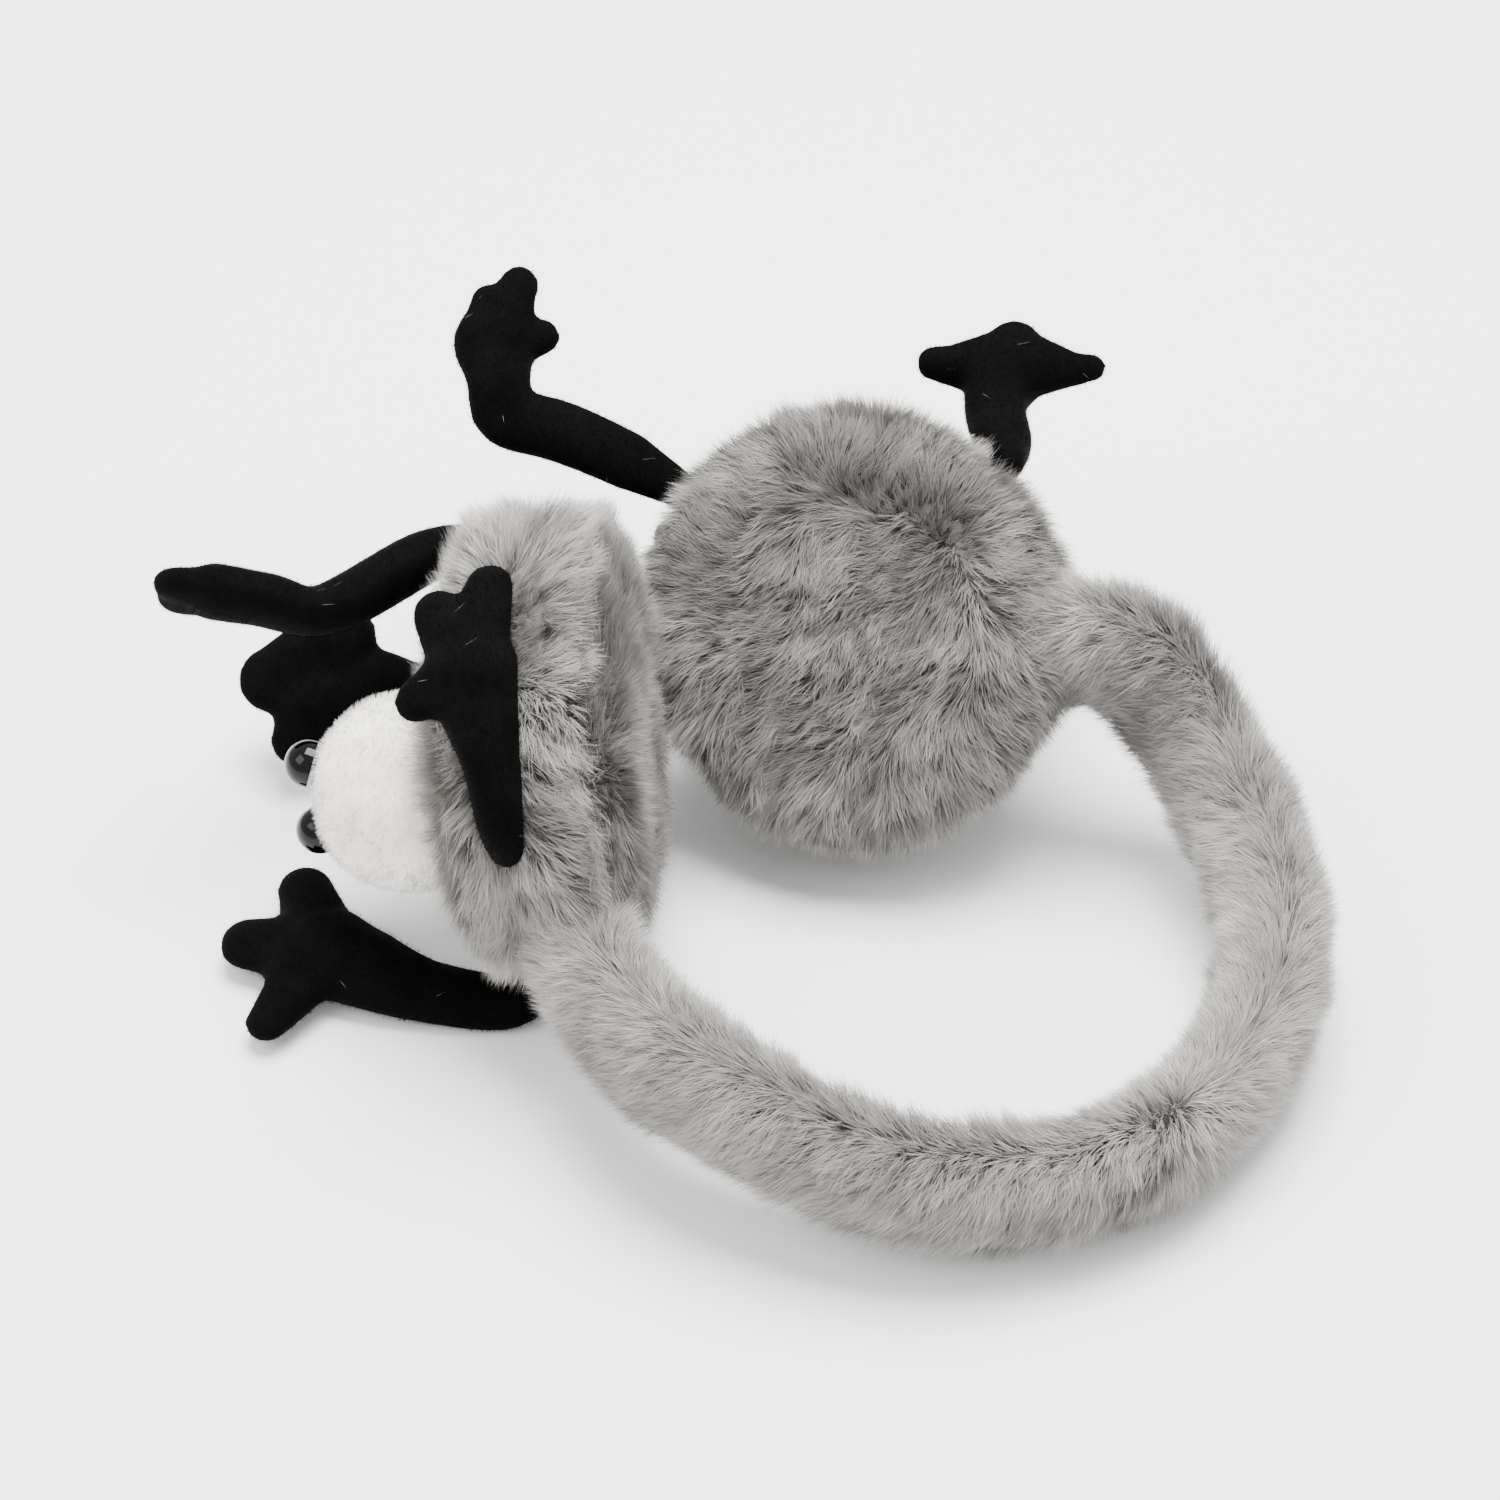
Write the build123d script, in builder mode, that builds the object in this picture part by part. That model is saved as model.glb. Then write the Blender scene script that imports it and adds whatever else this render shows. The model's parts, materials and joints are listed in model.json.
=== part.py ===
from build123d import *
from math import cos, sin, radians, hypot, sqrt
import os

os.makedirs("parts", exist_ok=True)

# Plush animal earmuffs, lying on a table as they were put down.
# The origin is where the crown of the headband rests on the table.

# clearances
gap = 0.4  # between pieces that move past each other
seam_gap = 0.2  # between pieces that are sewn or packed together
bore_gap = 0.05  # round a shank or pin, in radius

# headband loop
band_radius = 83
band_tilt = 15  # the loop leans down towards its crown
crown_heading = -51
crown_half_angle = 40
sleeve_depth = 11  # half the sleeve, across the band
sleeve_height = 18.5  # half the sleeve, along the loop's normal
sleeve_wall = 2
wadding_gap = 0.5
rest_flat = 0.6  # how far the sleeve is pressed flat where it rests
strip_width = 14
strip_thickness = 1.2
tab_width = 16
tab_thickness = 5
tab_length = 11
tab_overlap = 1  # how far the tab's block reaches over its neck
tab_room = 4  # between the tab and the wadding's end
neck_thickness = 2.4

# ear pads
pad_radius = 54  # the body cover's widest place
ear_radius = 52  # the ear cover's widest place
seam_depth = 5  # the seam lies this far inside the ear cover's rim
ear_depth = 29
body_depth = 26
ear_flat_radius = 20  # the flat that rests on the ear
body_flat_radius = 10
widest_share = 0.4  # of a lobe's depth, at its widest place
cover_wall = 2
plate_radius = 32
plate_thickness = 2
lug_thickness = 2.5
lug_radius = 4
lug_foot = 8  # how far a lug reaches in over the plate
pocket_back = 24  # room round the lugs, inwards from the hinge pin
pocket_gap = 2
pin_radius = 1.5
pin_end = 0.5  # the pin stands this far out of each lug
knuckle_radius = 3.5
hinge_setback = 7  # hinge pin, inside the seam
hinge_lift = 6  # hinge pin, towards the ear
hinge_reach = 18  # hinge pin to the sleeve's end
tilt_travel = 10

# head and eyes
head_radius = 25
head_wall = 1.5
head_forward = 9  # towards the headband
head_rise = 5  # centre of the head, outside the body cover
eye_radius = 6
eye_rim = 1
shank_radius = 1.6
shank_length = 7
washer_radius = 5.5
washer_thickness = 1.2
eye_spread = 21  # each eye off the face's middle, in degrees

# limbs
root_radius = 4
shoulder_radius = 5
limb_radius = 6.5
palm_radius = 7.5
finger_radius = 4.5
root_room = 5  # between the seam and a limb's root

seam_radius = ear_radius - seam_depth
root_reach = seam_radius + root_radius + root_room
hinge_radius = seam_radius - hinge_setback


def save(piece, name):
    piece.part.label = name
    export_step(piece.part, f"parts/{name}.step")


# ---- placing ----

section_drop = hypot(sleeve_depth * sin(radians(band_tilt)), sleeve_height * cos(radians(band_tilt)))
foot_shift = (sleeve_height**2 - sleeve_depth**2) * sin(radians(2 * band_tilt)) / 2 / section_drop
heading = Vector(cos(radians(crown_heading)), sin(radians(crown_heading)), 0)
loop_height = section_drop - rest_flat + band_radius * sin(radians(band_tilt))
loop_centre = heading * (foot_shift - band_radius * cos(radians(band_tilt))) + Vector(0, 0, loop_height)
loop = Plane(
    origin=loop_centre,
    x_dir=heading * cos(radians(band_tilt)) - Vector(0, 0, sin(radians(band_tilt))),
    z_dir=heading * sin(radians(band_tilt)) + Vector(0, 0, cos(radians(band_tilt))),
)


def loop_point(angle, radius=band_radius, height=0):
    return loop.from_local_coords(Vector(radius * cos(radians(angle)), radius * sin(radians(angle)), height))


def loop_tangent(angle):
    return loop_point(angle + 90) - loop_centre


# hinge pin places are loop angle, distance outside the loop, and height over its plane;
# mirror is 1 where the pad's left-hand turn is the loop's own
sides = {
    "left": dict(pin=(-123.5, 10.5, -9.5), faces=-2.5, lean=6.5, roll=-20, head_turn=34, swivel=24, bend=(-85, 3), mirror=1),
    "right": dict(pin=(126, -9, 9.4), faces=-100, lean=34.5, roll=3, head_turn=0, swivel=7, bend=(85, 0), mirror=-1),
}


def pad_frame(side):
    """Plane of a pad's seam: x towards the headband, z out of the ear side."""
    facing, lean, mirror = radians(side["faces"]), radians(side["lean"]), side["mirror"]
    ear_way = Vector(cos(lean) * cos(facing), cos(lean) * sin(facing), sin(lean))
    level = Vector(sin(facing), -cos(facing), 0) * mirror
    to_band = level.rotate(Axis((0, 0, 0), ear_way), side["roll"] * -mirror)
    angle, outside, height = side["pin"]
    pin = loop_point(angle, band_radius + outside, height)
    return Plane(origin=pin - to_band * hinge_radius - ear_way * hinge_lift, x_dir=to_band, z_dir=ear_way)


pads = {name: pad_frame(side) for name, side in sides.items()}


def across(pad):
    """The pad's section plane: x towards the headband, y out of the ear side."""
    return Plane(origin=pad.origin, x_dir=pad.x_dir, z_dir=-pad.y_dir)


def hinge_frame(name):
    """On the hinge pin: x out along the band's end, z along the pin."""
    pad, swivel = pads[name], radians(sides[name]["swivel"])
    pin = pad.origin + pad.x_dir * hinge_radius + pad.z_dir * hinge_lift
    return Plane(origin=pin, x_dir=pad.x_dir * cos(swivel) + pad.z_dir * sin(swivel), z_dir=pad.y_dir)


def lobe(pad, rim, seam, depth, flat, shrink=0):
    """Half of a pad as a solid of revolution, from the seam plane to its crown."""
    way = 1 if depth > 0 else -1
    rim, seam, top = rim - shrink, seam - shrink, depth - shrink * way
    with BuildSketch(across(pad)) as profile:
        with BuildLine():
            Line((0, 0), (seam, 0))
            Spline((seam, 0), (rim, top * widest_share), (flat, top), tangents=((1, way), (-1, 0)))
            Line((flat, top), (0, top))
            Line((0, top), (0, 0))
        make_face()
    revolve(profile.sketch, axis=Axis(pad.origin, pad.z_dir))


def ear_lobe(pad, shrink=0):
    lobe(pad, ear_radius, seam_radius, ear_depth, ear_flat_radius, shrink)


def body_lobe(pad, shrink=0):
    lobe(pad, pad_radius, seam_radius, -body_depth, body_flat_radius, shrink)


# ---- headband ----

crown_arc = ThreePointArc(loop_point(-crown_half_angle), loop_point(0), loop_point(crown_half_angle))


def arm_path(name):
    side, hinge = sides[name], hinge_frame(name)
    turn = side["mirror"] * -1
    start = (crown_half_angle + gap) * turn
    bend, spread = side["bend"]
    return Spline(
        loop_point(start),
        loop_point(bend, band_radius + spread),
        hinge.origin + hinge.x_dir * hinge_reach,
        tangents=(loop_tangent(start) * turn, -hinge.x_dir),
    )


def run(path, start_angle, shape, *sizes, inner=None, share=1):
    """Sweep an ellipse or rectangle along the band, less an inner one of its own."""
    edge = path.edge() if share == 1 else path.edge().trim(0, share)
    start = Plane(
        origin=edge.position_at(0),
        x_dir=loop_point(start_angle) - loop_centre,
        z_dir=edge.tangent_at(0),
    )
    with BuildSketch(start) as section:
        shape(*sizes)
        if inner:
            inner[0](*inner[1:], mode=Mode.SUBTRACT)
    sweep(section.sketch, path=edge)


sleeve_inner = (sleeve_depth - sleeve_wall, sleeve_height - sleeve_wall)
wadding_outer = (sleeve_inner[0] - wadding_gap, sleeve_inner[1] - wadding_gap)
strip_slot = (strip_thickness + 2 * wadding_gap, strip_width + 2 * wadding_gap)

with BuildPart() as sleeve:
    run(crown_arc, -crown_half_angle, Ellipse, sleeve_depth, sleeve_height, inner=(Ellipse, *sleeve_inner))
    split(bisect_by=Plane.XY, keep=Keep.TOP)
save(sleeve, "crown_fur_sleeve")

with BuildPart() as wadding:
    run(crown_arc, -crown_half_angle, Ellipse, *wadding_outer, inner=(Rectangle, *strip_slot))
save(wadding, "crown_wadding")

with BuildPart() as strip:
    run(crown_arc, -crown_half_angle, Rectangle, strip_thickness, strip_width)
save(strip, "crown_spring_strip")

for name, side in sides.items():
    path, hinge = arm_path(name), hinge_frame(name)
    start = -crown_half_angle * side["mirror"]

    with BuildPart() as sleeve:
        run(path, start, Ellipse, sleeve_depth, sleeve_height, inner=(Ellipse, *sleeve_inner))
    save(sleeve, f"{name}_arm_fur_sleeve")

    wadded = 1 - (tab_length + tab_room) / path.edge().length
    with BuildPart() as wadding:
        run(path, start, Ellipse, *wadding_outer, inner=(Rectangle, *strip_slot), share=wadded)
    save(wadding, f"{name}_arm_wadding")

    with BuildPart() as strip:
        run(path, start, Rectangle, strip_thickness, strip_width)
    save(strip, f"{name}_arm_spring_strip")

    with BuildPart() as socket:
        run(path, start, Rectangle, *strip_slot)

    with BuildPart() as tab:
        with Locations(hinge):
            with Locations((hinge_reach - tab_overlap, 0, 0)):
                Box(tab_length, tab_thickness, tab_width, align=(Align.MIN, Align.CENTER, Align.CENTER))
            Box(hinge_reach, neck_thickness, strip_width, align=(Align.MIN, Align.CENTER, Align.CENTER))
            Cylinder(knuckle_radius, strip_width)
            Cylinder(pin_radius + bore_gap, strip_width, mode=Mode.SUBTRACT)
        add(socket.part, mode=Mode.SUBTRACT)
    save(tab, f"{name}_hinge_tab")


# ---- ear pads ----

lug_inside = strip_width / 2 + gap
lug_outside = lug_inside + lug_thickness
pin_length = 2 * (lug_outside + pin_end)
slot_half = neck_thickness / 2 + gap + (pad_radius - hinge_radius) * sin(radians(tilt_travel))

for name, pad in pads.items():
    hinge = hinge_frame(name)

    with BuildPart() as slot:
        with Locations(hinge):
            Box(hinge_reach, 2 * slot_half, strip_width + 4 * gap, align=(Align.MIN, Align.CENTER, Align.CENTER))

    with BuildPart() as pocket:
        with Locations(pad):
            with Locations((hinge_radius - pocket_back, 0, 0)):
                Box(
                    pocket_back + knuckle_radius + pocket_gap,
                    pin_length + 2 * gap,
                    2 * (hinge_lift + lug_radius + pocket_gap),
                    align=(Align.MIN, Align.CENTER, Align.CENTER),
                )

    for half, place in {"ear": ear_lobe, "body": body_lobe}.items():
        way = 1 if half == "ear" else -1
        with BuildPart() as hollow:
            place(pad, cover_wall)

        with BuildPart() as cover:
            place(pad)
            add(hollow.part, mode=Mode.SUBTRACT)
            add(slot.part, mode=Mode.SUBTRACT)
            split(bisect_by=pad.offset(seam_gap / 2 * way), keep=Keep.TOP if way == 1 else Keep.BOTTOM)
        save(cover, f"{name}_{half}_cover")

        with BuildPart() as filling:
            place(pad, cover_wall + seam_gap)
            split(
                bisect_by=pad.offset((plate_thickness / 2 + seam_gap) * way),
                keep=Keep.TOP if way == 1 else Keep.BOTTOM,
            )
            add(slot.part, mode=Mode.SUBTRACT)
            add(pocket.part, mode=Mode.SUBTRACT)
        save(filling, f"{name}_{half}_filling")

    with BuildPart() as plate:
        with BuildSketch(pad.offset(-plate_thickness / 2)):
            Circle(plate_radius)
        extrude(amount=plate_thickness)
        for turn in (1, -1):
            with BuildSketch(across(pad).offset(turn * lug_inside)):
                with Locations((hinge_radius, hinge_lift)):
                    Circle(lug_radius)
                with Locations((plate_radius - lug_foot, 0)):
                    Rectangle(lug_foot, plate_thickness)
                make_hull()
            extrude(amount=turn * lug_thickness)
        with Locations(hinge):
            Cylinder(pin_radius + bore_gap, 2 * pin_length, mode=Mode.SUBTRACT)
    save(plate, f"{name}_backing_plate")

    with BuildPart() as pin:
        with Locations(hinge):
            Cylinder(pin_radius, pin_length)
    save(pin, f"{name}_hinge_pin")


# ---- heads ----

for name, side in sides.items():
    pad = pads[name]
    head = Plane(
        origin=pad.from_local_coords(Vector(head_forward, 0, -body_depth - head_rise)),
        x_dir=pad.x_dir.rotate(Axis((0, 0, 0), pad.z_dir), -side["head_turn"] * side["mirror"]),
        z_dir=-pad.z_dir,
    )
    eyes = {}
    for eye, turn in {"upper": side["mirror"], "lower": -side["mirror"]}.items():
        aim = Vector(0, sin(radians(eye_spread)) * turn, cos(radians(eye_spread)))
        aim = head.from_local_coords(aim) - head.origin
        eyes[eye] = Plane(origin=head.origin + aim * (head_radius + seam_gap), z_dir=aim)

    with BuildPart() as body:
        body_lobe(pad, -seam_gap)
    with BuildPart() as shanks:
        for eye in eyes.values():
            with Locations(eye):
                Cylinder(shank_radius + bore_gap, 3 * shank_length)
    washer_seat = head_radius - sqrt((head_radius - head_wall) ** 2 - washer_radius**2) + 2 * seam_gap

    with BuildPart() as cover:
        with Locations(head):
            Sphere(head_radius)
            Sphere(head_radius - head_wall, mode=Mode.SUBTRACT)
        add(body.part, mode=Mode.SUBTRACT)
        add(shanks.part, mode=Mode.SUBTRACT)
    save(cover, f"{name}_head_cover")

    with BuildPart() as filling:
        with Locations(head):
            Sphere(head_radius - head_wall - seam_gap)
        add(body.part, mode=Mode.SUBTRACT)
        add(shanks.part, mode=Mode.SUBTRACT)
        for eye in eyes.values():
            with Locations(eye):
                with Locations((0, 0, seam_gap)):
                    Cylinder(
                        washer_radius + seam_gap,
                        washer_seat + washer_thickness + 2 * seam_gap,
                        align=(Align.CENTER, Align.CENTER, Align.MAX),
                        mode=Mode.SUBTRACT,
                    )
    save(filling, f"{name}_head_filling")

    for eye, seat in eyes.items():
        with BuildPart() as button:
            with Locations(seat):
                Cylinder(eye_radius, eye_rim, align=(Align.CENTER, Align.CENTER, Align.MIN))
                Cylinder(shank_radius, shank_length, align=(Align.CENTER, Align.CENTER, Align.MAX))
                with Locations((0, 0, eye_rim)):
                    Sphere(eye_radius, arc_size1=0, align=(Align.CENTER, Align.CENTER, Align.MIN))
        save(button, f"{name}_{eye}_eye")

        with BuildPart() as washer:
            with Locations(seat):
                with Locations((0, 0, -washer_seat)):
                    Cylinder(washer_radius, washer_thickness, align=(Align.CENTER, Align.CENTER, Align.MAX))
                Cylinder(shank_radius + bore_gap, 3 * shank_length, mode=Mode.SUBTRACT)
        save(washer, f"{name}_{eye}_eye_washer")


# ---- limbs ----

# a place is the distance outside the body cover's rim, the angle round the pad from the
# headband (upwards is positive), and the height over the seam; beyond_body is the crown of the body
beyond_body = -body_depth
limbs = {
    "left_upper_arm": dict(
        root=34,
        bends=[(8, 50, -4), (9, 70, -6)],
        palm=(9, 86, -11),
        fingers=[(8, 98, -16), (8, 103, -6), (8, 74, -19)],
    ),
    "left_lower_arm": dict(
        root=-34,
        bends=[(8, -31, -12), (4, -31, beyond_body - 5)],
        palm=(-5, -37, beyond_body - 32),
        fingers=[(-14, -68, beyond_body - 40), (-9, -39, beyond_body - 56), (11, -17, beyond_body - 45)],
    ),
    "left_upper_leg": dict(
        root=186,
        bends=[(8, 187, -12), (4, 184, beyond_body - 2), (-16, 168, beyond_body - 29), (-13, 158, beyond_body - 46)],
        palm=(-12, 156, beyond_body - 53),
        fingers=[(-12, 160, beyond_body - 65), (-8, 152, beyond_body - 64)],
    ),
    "left_lower_leg": dict(
        root=-140,
        bends=[(8, -141, -12), (4, -130, beyond_body - 16), (6, -128, beyond_body - 35)],
        palm=(8, -130, beyond_body - 47),
        fingers=[(6, -137, beyond_body - 62), (13, -148, beyond_body - 42), (2, -117, beyond_body - 48)],
    ),
    "right_upper_arm": dict(
        root=47,
        bends=[(8, 51, -10), (10, 66, -24)],
        palm=(20, 68, -30),
        fingers=[(15, 82, -26), (28, 71, -34), (33, 56, -31)],
    ),
    "right_lower_arm": dict(
        root=-38,
        bends=[(8, -35, -12), (4, -33, beyond_body - 3), (-12, -26, beyond_body - 18)],
        palm=(-17, -5, beyond_body - 42),
        fingers=[(-15, 16, beyond_body - 46), (-18, 0, beyond_body - 52), (-10, -14, beyond_body - 44)],
    ),
    "right_upper_leg": dict(
        root=151,
        bends=[(20, 154, 4), (53, 155, 10), (58, 149, 10)],
        palm=(66, 143, 6),
        fingers=[(75, 138, 4), (71, 135, 1), (55, 139, 1)],
    ),
    "right_lower_leg": dict(
        root=-149,
        bends=[(8, -151, -12), (4, -158, beyond_body - 2), (2, -168, beyond_body - 18)],
        palm=(6, 178, beyond_body - 38),
        fingers=[(14, 170, beyond_body - 44), (10, 179, beyond_body - 48), (4, -173, beyond_body - 40)],
    ),
}


def place_on(pad, mirror, place):
    outside, angle, height = place
    radius, angle = pad_radius + outside, radians(angle) * -mirror
    return pad.from_local_coords(Vector(radius * cos(angle), radius * sin(angle), height))


def stretch(start, end, start_radius, end_radius):
    """A round length of limb between two points, with a ball at its end."""
    with Locations(Plane(origin=start, z_dir=end - start)):
        length = (end - start).length
        if start_radius == end_radius:
            Cylinder(start_radius, length, align=(Align.CENTER, Align.CENTER, Align.MIN))
        else:
            Cone(start_radius, end_radius, length, align=(Align.CENTER, Align.CENTER, Align.MIN))
    with Locations(Plane(origin=end, z_dir=end - start)):
        Sphere(end_radius)


for name, limb in limbs.items():
    side = name.split("_")[0]
    pad, mirror = pads[side], sides[side]["mirror"]
    root = place_on(pad, mirror, (root_reach - pad_radius, limb["root"], 0))
    middle = [place_on(pad, mirror, place) for place in limb["bends"]]
    palm = place_on(pad, mirror, limb["palm"])
    with BuildPart() as piece:
        with Locations(root):
            Sphere(root_radius)
        start, start_radius, end_radius = root, root_radius, shoulder_radius
        for end in middle:
            stretch(start, end, start_radius, end_radius)
            start, start_radius, end_radius = end, end_radius, limb_radius
        stretch(start, palm, start_radius, palm_radius)
        for finger in limb["fingers"]:
            stretch(palm, place_on(pad, mirror, finger), finger_radius, finger_radius)
    save(piece, name)
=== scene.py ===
import bpy
import bmesh
import json
import math
import numpy as np
from mathutils import Matrix, Vector


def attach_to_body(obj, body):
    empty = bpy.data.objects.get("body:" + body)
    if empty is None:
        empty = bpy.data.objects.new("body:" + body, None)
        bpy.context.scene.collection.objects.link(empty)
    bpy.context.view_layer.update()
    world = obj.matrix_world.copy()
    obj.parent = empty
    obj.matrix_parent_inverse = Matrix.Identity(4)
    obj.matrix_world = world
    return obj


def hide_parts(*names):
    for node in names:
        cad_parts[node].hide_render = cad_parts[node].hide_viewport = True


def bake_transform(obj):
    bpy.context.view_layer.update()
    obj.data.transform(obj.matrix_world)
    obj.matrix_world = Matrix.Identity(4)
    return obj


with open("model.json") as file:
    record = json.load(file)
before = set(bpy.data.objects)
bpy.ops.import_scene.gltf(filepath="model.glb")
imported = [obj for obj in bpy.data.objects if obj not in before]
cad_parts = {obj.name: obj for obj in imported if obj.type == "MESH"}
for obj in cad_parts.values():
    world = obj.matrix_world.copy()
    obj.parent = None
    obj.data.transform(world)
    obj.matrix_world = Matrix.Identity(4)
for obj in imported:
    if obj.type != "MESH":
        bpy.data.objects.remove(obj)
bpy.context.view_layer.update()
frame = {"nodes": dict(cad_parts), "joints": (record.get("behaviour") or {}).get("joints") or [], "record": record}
mm = 0.001
joints = {joint["name"]: joint for joint in frame["joints"]}
mounts = {mount["name"]: mount for mount in frame["record"]["mounts"]}
nodes = frame["nodes"]


def unit(v):
    v = np.asarray(v, float)
    return v / np.maximum(np.linalg.norm(v, axis=-1, keepdims=True), 1e-12)


def hexColour(code):
    parts = [int(code[i:i + 2], 16) / 255 for i in (1, 3, 5)]
    return [p / 12.92 if p < 0.04045 else ((p + 0.055) / 1.055) ** 2.4 for p in parts] + [1]


def addNode(tree, kind, **values):
    node = tree.nodes.new(kind)
    for key, value in values.items():
        if key in node.inputs:
            socket = node.inputs[key]
            if isinstance(value, bpy.types.NodeSocket):
                tree.links.new(value, socket)
            else:
                socket.default_value = value
        else:
            setattr(node, key, value)
    return node


def newMaterial(name):
    material = bpy.data.materials.new(name)
    material.use_nodes = True
    tree = material.node_tree
    return material, tree, tree.nodes["Principled BSDF"]


def meshObject(name, points, faces, material):
    mesh = bpy.data.meshes.new(name)
    mesh.from_pydata([tuple(p) for p in points], [], faces)
    thing = bpy.data.objects.new(name, mesh)
    bpy.context.collection.objects.link(thing)
    mesh.materials.append(material)
    return thing


def selectOnly(thing):
    bpy.ops.object.select_all(action="DESELECT")
    thing.select_set(True)
    bpy.context.view_layer.objects.active = thing


def applyModifier(thing, name):
    selectOnly(thing)
    bpy.ops.object.modifier_apply(modifier=name)


# smooth noise from -1 to 1, of about that size in metres
def waves(points, size, seed, count=7):
    rng = np.random.default_rng(seed)
    total = np.zeros(len(points))
    for _ in range(count):
        way = unit(rng.normal(size=3)) * 2 * math.pi / size / rng.uniform(0.7, 1.6)
        total += np.sin(points @ way + rng.uniform(0, 2 * math.pi))
    return total / math.sqrt(count) / 1.2


# pile colour from its own map: across is a strand's tone, up is root to tip
def furMaterial(name, root, tip, roughness=0.55, sheen=0.15, shine=0.25):
    material, tree, shader = newMaterial(name)
    place = addNode(tree, "ShaderNodeUVMap", uv_map="OFBake")
    split = addNode(tree, "ShaderNodeSeparateXYZ", Vector=place.outputs["UV"])
    ramp = addNode(tree, "ShaderNodeValToRGB", Fac=split.outputs["Y"])
    ramp.color_ramp.elements[0].color = hexColour(root)
    ramp.color_ramp.elements[0].position = 0.05
    ramp.color_ramp.elements[1].color = hexColour(tip)
    ramp.color_ramp.elements[1].position = 0.85
    tone = addNode(tree, "ShaderNodeMapRange", Value=split.outputs["X"])
    tone.inputs["To Min"].default_value = 0.3  # the darkest strands
    tone.inputs["To Max"].default_value = 1.4  # and the palest
    mix = addNode(tree, "ShaderNodeVectorMath", operation="SCALE")
    tree.links.new(ramp.outputs["Color"], mix.inputs[0])
    tree.links.new(tone.outputs["Result"], mix.inputs["Scale"])
    tree.links.new(mix.outputs["Vector"], shader.inputs["Base Color"])
    shader.inputs["Roughness"].default_value = roughness
    shader.inputs["Sheen Weight"].default_value = sheen
    shader.inputs["Specular IOR Level"].default_value = shine
    return material


# short pile or knit: a fine mottle whose grain is given in metres
def clothMaterial(name, dark, light, grain, bump, roughness=0.9, sheen=0.3, shine=0.2):
    material, tree, shader = newMaterial(name)
    place = addNode(tree, "ShaderNodeTexCoord")
    where = place.outputs["Object"]
    fine = addNode(tree, "ShaderNodeTexNoise", Vector=where, Scale=1 / grain, Detail=3.0)
    broad = addNode(tree, "ShaderNodeTexNoise", Vector=where, Scale=1 / (grain * 18))  # worn patches
    both = addNode(tree, "ShaderNodeMath", operation="MULTIPLY_ADD")
    tree.links.new(fine.outputs["Fac"], both.inputs[0])
    both.inputs[1].default_value = 0.6  # the fine grain's share of the mottle
    tree.links.new(broad.outputs["Fac"], both.inputs[2])
    ramp = addNode(tree, "ShaderNodeValToRGB", Fac=both.outputs["Value"])
    ramp.color_ramp.elements[0].color = hexColour(dark)
    ramp.color_ramp.elements[0].position = 0.55
    ramp.color_ramp.elements[1].color = hexColour(light)
    ramp.color_ramp.elements[1].position = 1.0
    tree.links.new(ramp.outputs["Color"], shader.inputs["Base Color"])
    relief = addNode(tree, "ShaderNodeBump", Height=fine.outputs["Fac"], Distance=bump, Strength=0.8)
    tree.links.new(relief.outputs["Normal"], shader.inputs["Normal"])
    shader.inputs["Roughness"].default_value = roughness
    shader.inputs["Sheen Weight"].default_value = sheen
    shader.inputs["Specular IOR Level"].default_value = shine
    return material


# moulded plastic or metal, with a little unevenness in its gloss
def hardMaterial(name, colour, roughness, metallic=0.0, shine=0.5, grain=0.0004, wear=0.08):
    material, tree, shader = newMaterial(name)
    place = addNode(tree, "ShaderNodeTexCoord")
    where = place.outputs["Object"]
    noise = addNode(tree, "ShaderNodeTexNoise", Vector=where, Scale=1 / grain / 8, Detail=2.0)
    gloss = addNode(tree, "ShaderNodeMapRange", Value=noise.outputs["Fac"])
    gloss.inputs["To Min"].default_value = max(roughness - wear, 0.02)
    gloss.inputs["To Max"].default_value = roughness + wear
    tree.links.new(gloss.outputs["Result"], shader.inputs["Roughness"])
    shader.inputs["Base Color"].default_value = hexColour(colour)
    shader.inputs["Metallic"].default_value = metallic
    shader.inputs["Specular IOR Level"].default_value = shine
    return material


# brushed acrylic faux fur: dark roots and pale tips, partly the fibre's own colour and partly painted shade deep
# in the pile, so partings read dark and edges read light
greyFur = furMaterial("grey faux fur pile", "#4b4947", "#b4b0ab")
# its knitted backing, matt, seen only between the strands
furBacking = clothMaterial("grey fur backing", "#4e4b49", "#6d6a67", 0.8 * mm, 0.3 * mm)
# velboa, a short sheared polyester pile: it swallows nearly all light, even at a grazing angle
blackFuzz = furMaterial("black velboa pile", "#010101", "#060606", 0.8, 0.0, 0.03)
velboa = clothMaterial("black velboa", "#010101", "#050505", 0.5 * mm, 0.15 * mm, 0.85, 0.0, 0.04)
# brushed polyester plush: warm white, soft and matt, with short fluff at the outline
whiteFuzz = furMaterial("white plush pile", "#e2ddd4", "#fbf9f5", 0.7, 0.2)
plush = clothMaterial("white plush", "#e6e2da", "#f6f3ee", 0.7 * mm, 0.2 * mm)
# moulded acrylic eye, polished: small sharp highlights on black
eyeGloss = hardMaterial("black safety eye", "#010101", 0.06, shine=0.2, wear=0.02)
# rolled and blued spring steel: a soft blue-grey gloss
springSteel = hardMaterial("blued spring steel", "#5b5f66", 0.35, metallic=1.0)
# moulded nylon: milky and half matt
nylon = hardMaterial("moulded nylon", "#c9c7c2", 0.5)
# carded polyester wadding: loose, matt and cloudy
wadding = clothMaterial("polyester wadding", "#cfcac0", "#e8e4dc", 2.0 * mm, 0.6 * mm)
print("materials done")

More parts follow.
